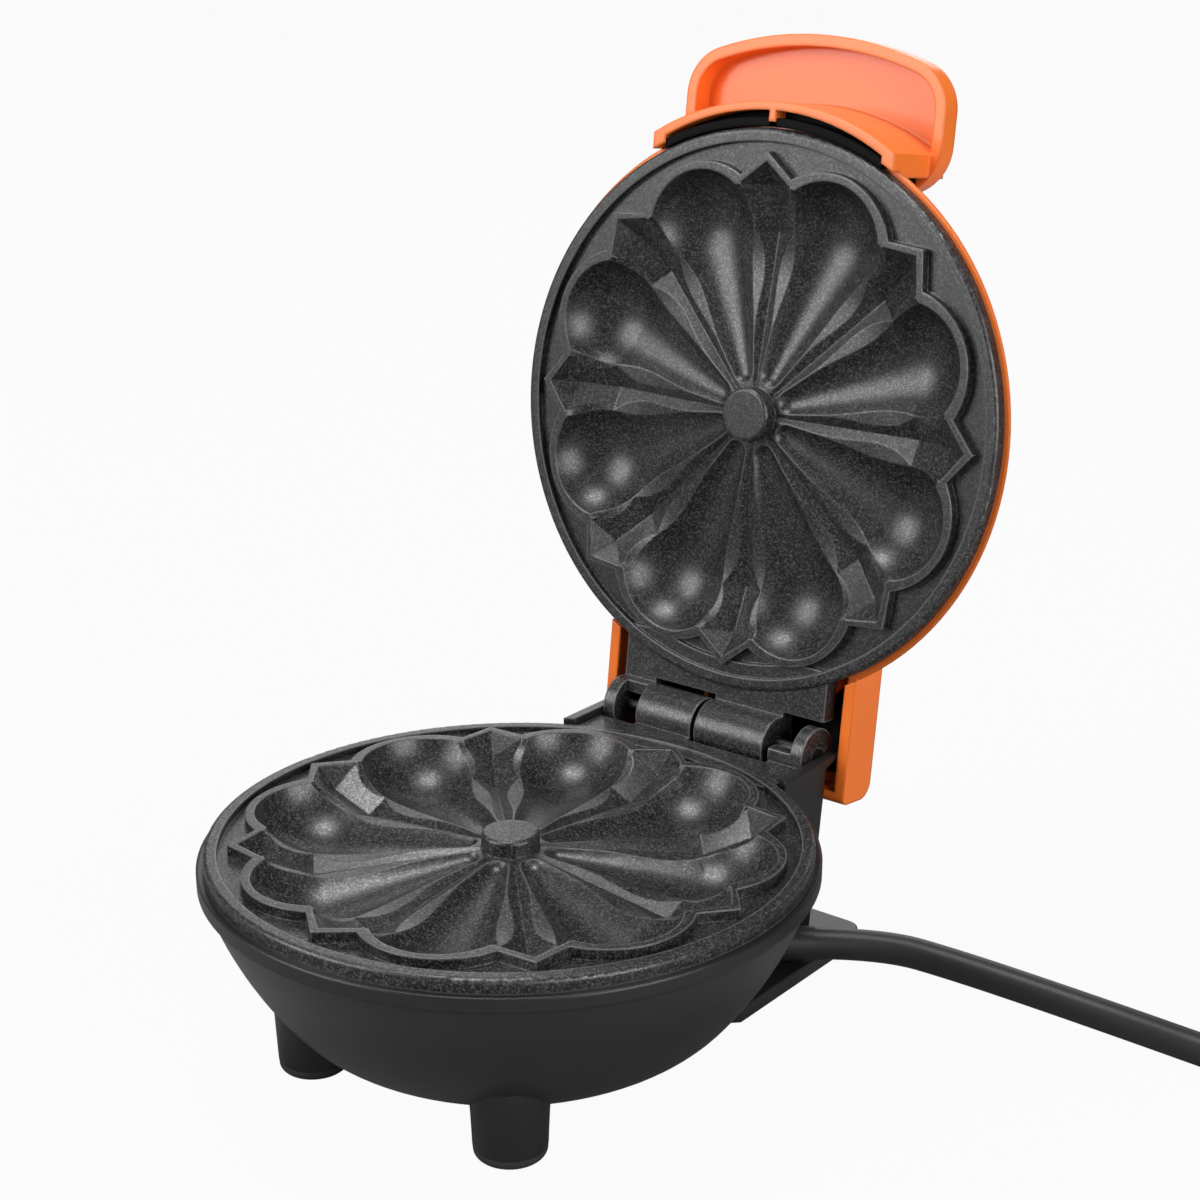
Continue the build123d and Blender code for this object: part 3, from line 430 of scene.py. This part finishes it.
def coil_route(settings):
    """The points of the put-away coil: flat on its right, climbing one pitch on its left."""
    step = 2 * math.pi / settings.coil_points
    radius = settings.coil_radius / math.cos(step / 2)
    points = []
    for index in range(1, settings.coil_turns * settings.coil_points):
        turn, part = divmod(index / settings.coil_points, 1)
        angle = index * step - math.pi / 2
        rise = (turn + max(0.0, part - 0.5) * 2) * settings.coil_pitch
        points.append(COIL_CENTRE + Vector((radius * math.cos(angle), radius * math.sin(angle), rise)))
    return points


def rib_tree(material):
    """Rings of equal size in a row, as a node tree with named inputs."""
    tree = bpy.data.node_groups.new("Ribs", "GeometryNodeTree")
    for name, kind, default in (
        ("Count", "NodeSocketInt", 5),
        ("Start", "NodeSocketVector", (0, 0, 0)),
        ("Step", "NodeSocketVector", (0, 0, 0.002)),
        ("Turn", "NodeSocketVector", (0, 0, 0)),
        ("First Radius", "NodeSocketFloat", 0.005),
        ("Last Radius", "NodeSocketFloat", 0.005),
        ("Thickness", "NodeSocketFloat", 0.0005),
    ):
        socket = tree.interface.new_socket(name, in_out="INPUT", socket_type=kind)
        socket.default_value = default
    tree.interface.new_socket("Geometry", in_out="OUTPUT", socket_type="NodeSocketGeometry")

    def add(kind, **inputs):
        made = tree.nodes.new(kind)
        for name, value in inputs.items():
            target = made.inputs[name.replace("_", " ")]
            if isinstance(value, bpy.types.NodeSocket):
                tree.links.new(value, target)
            else:
                target.default_value = value
        return made

    given = add("NodeGroupInput").outputs
    row = tree.nodes.new("GeometryNodeMeshLine")
    tree.links.new(given["Count"], row.inputs["Count"])
    tree.links.new(given["Start"], row.inputs["Start Location"])
    tree.links.new(given["Step"], row.inputs["Offset"])
    circle = add("GeometryNodeCurvePrimitiveCircle", Resolution=48, Radius=1.0)
    index = add("GeometryNodeInputIndex").outputs[0]
    last = tree.nodes.new("ShaderNodeMath")
    last.operation = "SUBTRACT"
    tree.links.new(given["Count"], last.inputs[0])
    last.inputs[1].default_value = 1.0
    size = tree.nodes.new("ShaderNodeMapRange")
    tree.links.new(index, size.inputs["Value"])
    size.inputs["From Min"].default_value = 0.0
    tree.links.new(last.outputs[0], size.inputs["From Max"])
    tree.links.new(given["First Radius"], size.inputs["To Min"])
    tree.links.new(given["Last Radius"], size.inputs["To Max"])
    rings = add("GeometryNodeInstanceOnPoints", Points=row.outputs[0], Rotation=given["Turn"])
    tree.links.new(circle.outputs[0], rings.inputs["Instance"])
    tree.links.new(size.outputs[0], rings.inputs["Scale"])
    real = add("GeometryNodeRealizeInstances", Geometry=rings.outputs[0])
    profile = add("GeometryNodeCurvePrimitiveCircle", Resolution=10)
    tree.links.new(given["Thickness"], profile.inputs["Radius"])
    tube = tree.nodes.new("GeometryNodeCurveToMesh")
    tree.links.new(real.outputs[0], tube.inputs["Curve"])
    tree.links.new(profile.outputs[0], tube.inputs["Profile Curve"])
    smooth = add("GeometryNodeSetShadeSmooth", Geometry=tube.outputs[0])
    coat = add("GeometryNodeSetMaterial", Geometry=smooth.outputs[0], Material=material)
    add("NodeGroupOutput", Geometry=coat.outputs[0])
    return tree


def grown(name, tree, **inputs):
    """The plain mesh that a node tree makes from these inputs."""
    holder = bpy.data.objects.new(name + "_holder", bpy.data.meshes.new(name + "_holder"))
    bpy.context.collection.objects.link(holder)
    modifier = holder.modifiers.new("Grow", "NODES")
    modifier.node_group = tree
    sockets = {item.name: item.identifier for item in tree.interface.items_tree if item.in_out == "INPUT"}
    for key, value in inputs.items():
        modifier[sockets[key.replace("_", " ")]] = value
    depsgraph = bpy.context.evaluated_depsgraph_get()
    data = bpy.data.meshes.new_from_object(holder.evaluated_get(depsgraph))
    bpy.data.objects.remove(holder)
    piece = bpy.data.objects.new(name, data)
    bpy.context.collection.objects.link(piece)
    return piece


class CAKEMAKER_OT_plates(bpy.types.Operator):
    """Coat the two mould plates"""

    bl_idname = "cake_maker.plates"
    bl_label = "Mould plates"

    def execute(self, context):
        paint(non_stick(context.scene.cake_plates), "lower_plate", "upper_plate")
        return {"FINISHED"}


class CAKEMAKER_OT_shells(bpy.types.Operator):
    """Finish the base, the lid and the small plastic pieces on them"""

    bl_idname = "cake_maker.shells"
    bl_label = "Shells"

    def execute(self, context):
        settings = context.scene.cake_shells
        lid = moulded_plastic(
            "orange_plastic", settings.lid_colour, settings.lid_roughness, settings, gloss=0.35, coat=0.10
        )
        base = moulded_plastic(
            "black_plastic", settings.base_colour, settings.base_roughness, settings, gloss=0.58
        )
        # Painted shade: this near-black material on the tail liner stands in for the shade inside the lid's
        # tail between the hinge parts; on the handle liner it is the liner's own black.
        liner = moulded_plastic("black_liner_and_painted_shade", (0.003, 0.003, 0.003), 0.65, settings, gloss=0.1)
        paint(lid, "lid_shell")
        paint(base, "base_shell")
        paint(liner, "handle_liner", "tail_liner")
        paint(lens_plastic("amber_lens", (0.72, 0.13, 0.02)), "indicator_lens")
        paint(lamp_glass(), "indicator_lamp")
        paint(plain("foot_rubber", (0.018, 0.018, 0.018), 0.7), "foot_pads")
        return {"FINISHED"}


class CAKEMAKER_OT_heating(bpy.types.Operator):
    """Finish the heaters, the sensors and the reflectors"""

    bl_idname = "cake_maker.heating"
    bl_label = "Heating"

    def execute(self, context):
        paint(metal("heater_tube", (0.36, 0.35, 0.34), 0.45), "lower_heater", "upper_heater")
        paint(
            plain("ceramic", (0.78, 0.75, 0.68), 0.6),
            "lower_heater_beads",
            "upper_heater_beads",
        )
        paint(metal("bright_sheet", (0.70, 0.71, 0.72), 0.22), "lower_reflector", "upper_reflector")
        paint(plain("brown_moulding", (0.07, 0.045, 0.03), 0.45), "thermostat")
        paint(plain("glass_sleeve", (0.72, 0.70, 0.65), 0.8, grain=0.0003), "thermal_fuse", "wire_fuse_link")
        return {"FINISHED"}


class CAKEMAKER_OT_metalwork(bpy.types.Operator):
    """Finish the hinge pin, the studs and the screws"""

    bl_idname = "cake_maker.metalwork"
    bl_label = "Metalwork"

    def execute(self, context):
        # The hinge pin is given dark steel, as dark as it shows in the gap between the left hinge ear and
        # the lower barrel.
        paint(metal("dark_pin_steel", (0.045, 0.045, 0.047), 0.35), "hinge_pin")
        paint(
            metal("zinc_steel", (0.50, 0.50, 0.51), 0.32),
            "base_screws",
            "lid_screws",
            "cord_clamp_screws",
            "lower_heater_studs",
            "upper_heater_studs",
        )
        return {"FINISHED"}


class CAKEMAKER_OT_wiring(bpy.types.Operator):
    """Finish the wires inside, their block and their clamp"""

    bl_idname = "cake_maker.wiring"
    bl_label = "Wiring"

    def execute(self, context):
        paint(plain("white_moulding", (0.76, 0.76, 0.73), 0.5), "terminal_block", "cord_clamp")
        paint(plain("brown_sleeve", (0.16, 0.055, 0.02), 0.4), "wire_live", "wire_lid_live")
        paint(plain("blue_sleeve", (0.02, 0.09, 0.38), 0.4), "wire_neutral", "wire_lid_neutral")
        paint(striped_wire("earth_sleeve", (0.06, 0.30, 0.05), (0.75, 0.62, 0.05)), "wire_earth")
        return {"FINISHED"}


class CAKEMAKER_OT_cord(bpy.types.Operator):
    """Lay the mains cord with its gland, tie and plug"""

    bl_idname = "cake_maker.cord"
    bl_label = "Cord and plug"

    def execute(self, context):
        settings = context.scene.cake_cord
        sheath = plain("cord_sheath", settings.sheath, 0.36, grain=0.0016)
        paint(sheath, "cord_gland", "plug_body")
        paint(plain("tie_plastic", (0.02, 0.02, 0.02), 0.5), "cord_tie")
        paint(metal("nickel_plate", (0.70, 0.69, 0.67), 0.15), "plug_pins")
        route = [*CORD_FRONT, *coil_route(settings), *CORD_END]
        lead = curve_piece("mains_lead", route, settings.diameter / 2, sheath)
        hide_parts("power_cord", "power_cord_coil", "power_cord_tail")
        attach(lead, "base")
        start = Vector(CORD_END[-1])
        along = (start - Vector(CORD_END[-2])).normalized()
        ribs = grown(
            "plug_grip",
            rib_tree(sheath),
            Count=settings.grip_ribs,
            Start=start + along * settings.grip_start,
            Step=along * settings.grip_pitch,
            Turn=along.to_track_quat("Z", "Y").to_euler(),
            First_Radius=settings.grip_first,
            Last_Radius=settings.grip_last,
            Thickness=settings.grip_thickness,
        )
        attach(ribs, "base")
        return {"FINISHED"}


class CAKEMAKER_OT_stage(bpy.types.Operator):
    """Set up the camera, the lamps, the sky and the floor"""

    bl_idname = "cake_maker.stage"
    bl_label = "Stage"

    def execute(self, context):
        settings = context.scene.cake_stage
        self.camera(context, settings)
        powers = (settings.key_power, settings.top_power, settings.fill_power, settings.back_power)
        for (name, place, size), power in zip(LAMPS, powers):
            self.lamp(context, name, Vector(place), size, power)
        self.sky(context, settings)
        self.floor(context, settings)
        return {"FINISHED"}

    def camera(self, context, settings):
        data = bpy.data.cameras.new("camera")
        data.lens = settings.focal_length
        data.sensor_width = SENSOR_WIDTH
        camera = bpy.data.objects.new("camera", data)
        camera.location = settings.camera_place
        towards = Vector(settings.camera_target) - Vector(settings.camera_place)
        camera.rotation_euler = towards.to_track_quat("-Z", "Y").to_euler()
        context.collection.objects.link(camera)
        context.scene.camera = camera

    def lamp(self, context, name, place, size, power):
        data = bpy.data.lights.new(name, "AREA")
        data.size = size
        data.energy = power
        lamp = bpy.data.objects.new(name, data)
        lamp.location = place
        lamp.rotation_euler = (LAMP_TARGET - place).to_track_quat("-Z", "Y").to_euler()
        context.collection.objects.link(lamp)

    def sky(self, context, settings):
        world = bpy.data.worlds.new("studio")
        world.use_nodes = True
        tree = world.node_tree
        tree.nodes.clear()
        path = tree.nodes.new("ShaderNodeLightPath")
        seen = tree.nodes.new("ShaderNodeMath")
        seen.operation = "MAXIMUM"
        tree.links.new(path.outputs["Is Camera Ray"], seen.inputs[0])
        tree.links.new(path.outputs["Is Transmission Ray"], seen.inputs[1])
        strength = tree.nodes.new("ShaderNodeMapRange")
        strength.inputs["To Min"].default_value = settings.sky
        strength.inputs["To Max"].default_value = settings.backdrop
        tree.links.new(seen.outputs[0], strength.inputs["Value"])
        sky = tree.nodes.new("ShaderNodeBackground")
        sky.inputs["Color"].default_value = WHITE
        tree.links.new(strength.outputs[0], sky.inputs["Strength"])
        output = tree.nodes.new("ShaderNodeOutputWorld")
        tree.links.new(sky.outputs[0], output.inputs["Surface"])
        context.scene.world = world
        context.scene.view_settings.view_transform = "Standard"

    def floor(self, context, settings):
        half = settings.floor_size / 2
        mesh = bpy.data.meshes.new("floor")
        corners = [(-half, -half, 0), (half, -half, 0), (half, half, 0), (-half, half, 0)]
        mesh.from_pydata(corners, [], [(0, 1, 2, 3)])
        floor = bpy.data.objects.new("floor", mesh)
        context.collection.objects.link(floor)
        surface = Surface("studio_floor")
        seen = surface.node("ShaderNodeLightPath", output="Is Camera Ray")
        grey = (settings.floor_shade,) * 3
        lit = surface.node("ShaderNodeBsdfDiffuse", inputs={"Color": solid(grey)})
        white = surface.node("ShaderNodeEmission", inputs={"Color": WHITE, "Strength": 1.0})
        glow = seen * settings.floor_glow
        surface.close(surface.node("ShaderNodeMixShader", inputs={0: glow, 1: lit, 2: white}))
        mesh.materials.append(surface.material)


class CAKEMAKER_PT_panel(bpy.types.Panel):
    """The steps that finish the cake maker"""

    bl_label = "Cake maker"
    bl_space_type = "VIEW_3D"
    bl_region_type = "UI"
    bl_category = "Cake Maker"

    def draw(self, context):
        for settings in (
            context.scene.cake_plates,
            context.scene.cake_shells,
            context.scene.cake_cord,
            context.scene.cake_stage,
        ):
            for name in settings.__annotations__:
                self.layout.prop(settings, name)
        for operator in OPERATORS:
            self.layout.operator(operator.bl_idname)


SETTINGS = {
    "cake_plates": PlateSettings,
    "cake_shells": ShellSettings,
    "cake_cord": CordSettings,
    "cake_stage": StageSettings,
}
OPERATORS = (
    CAKEMAKER_OT_stage,
    CAKEMAKER_OT_plates,
    CAKEMAKER_OT_shells,
    CAKEMAKER_OT_heating,
    CAKEMAKER_OT_metalwork,
    CAKEMAKER_OT_wiring,
    CAKEMAKER_OT_cord,
)


def register():
    for kind in (*SETTINGS.values(), *OPERATORS, CAKEMAKER_PT_panel):
        bpy.utils.register_class(kind)
    for name, kind in SETTINGS.items():
        setattr(bpy.types.Scene, name, PointerProperty(type=kind))


def unregister():
    for name in SETTINGS:
        delattr(bpy.types.Scene, name)
    for kind in (CAKEMAKER_PT_panel, *OPERATORS, *SETTINGS.values()):
        bpy.utils.unregister_class(kind)


def main():
    register()
    for operator in OPERATORS:
        group, name = operator.bl_idname.split(".")
        getattr(getattr(bpy.ops, group), name)()


if __name__ == "__main__":
    main()
